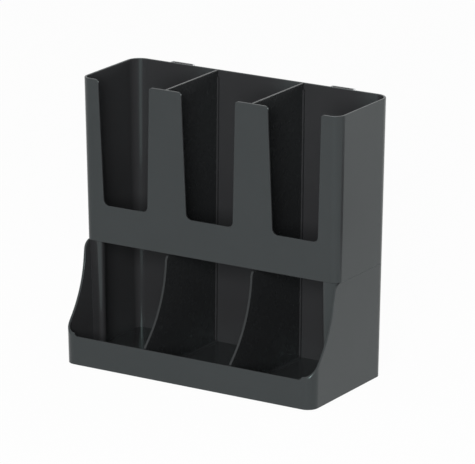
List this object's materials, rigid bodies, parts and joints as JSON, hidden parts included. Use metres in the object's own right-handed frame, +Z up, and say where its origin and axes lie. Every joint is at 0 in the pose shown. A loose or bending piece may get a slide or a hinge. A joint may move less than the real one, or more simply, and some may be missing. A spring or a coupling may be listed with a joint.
{
  "type": "two tier countertop organizer",
  "caption": "Two-tier countertop organizer with slotted cup compartments above a divided tray with a swept front.",
  "frame": {"origin": "on the table, under the middle of the whole object's box", "axes": "+X to the user's right, along the width; +Y to the back; +Z up"},
  "size_m": [0.325, 0.157, 0.3116],
  "materials": {
    "body_plastic": "fine satin moulded, charcoal black",
    "divider_plastic": "satin sheet, charcoal black",
    "hanger_steel": "plain zinc-grey strip",
    "foot_rubber": "matt"
  },
  "bodies": {
    "lower_tier": {"lower_bin": "body_plastic", "lower_divider_left": "divider_plastic", "lower_divider_right": "divider_plastic", "foot_1": "foot_rubber", "foot_2": "foot_rubber", "foot_3": "foot_rubber", "foot_4": "foot_rubber"},
    "upper_tier": {"upper_bin": "body_plastic", "hanger_left": "hanger_steel", "hanger_right": "hanger_steel"},
    "upper_divider_left": {"upper_divider_left": "divider_plastic"},
    "upper_divider_right": {"upper_divider_right": "divider_plastic"}
  },
  "joints": [
    {"name": "upper_tier_lift", "type": "slide", "parent": "lower_tier", "child": "upper_tier", "axis": [0, 0, 1], "range_m": [0, 0.06]},
    {"name": "upper_divider_left_lift", "type": "slide", "parent": "upper_tier", "child": "upper_divider_left", "axis": [0, 0, 1], "range_m": [0, 0.185]},
    {"name": "upper_divider_right_lift", "type": "slide", "parent": "upper_tier", "child": "upper_divider_right", "axis": [0, 0, 1], "range_m": [0, 0.185]}
  ]
}
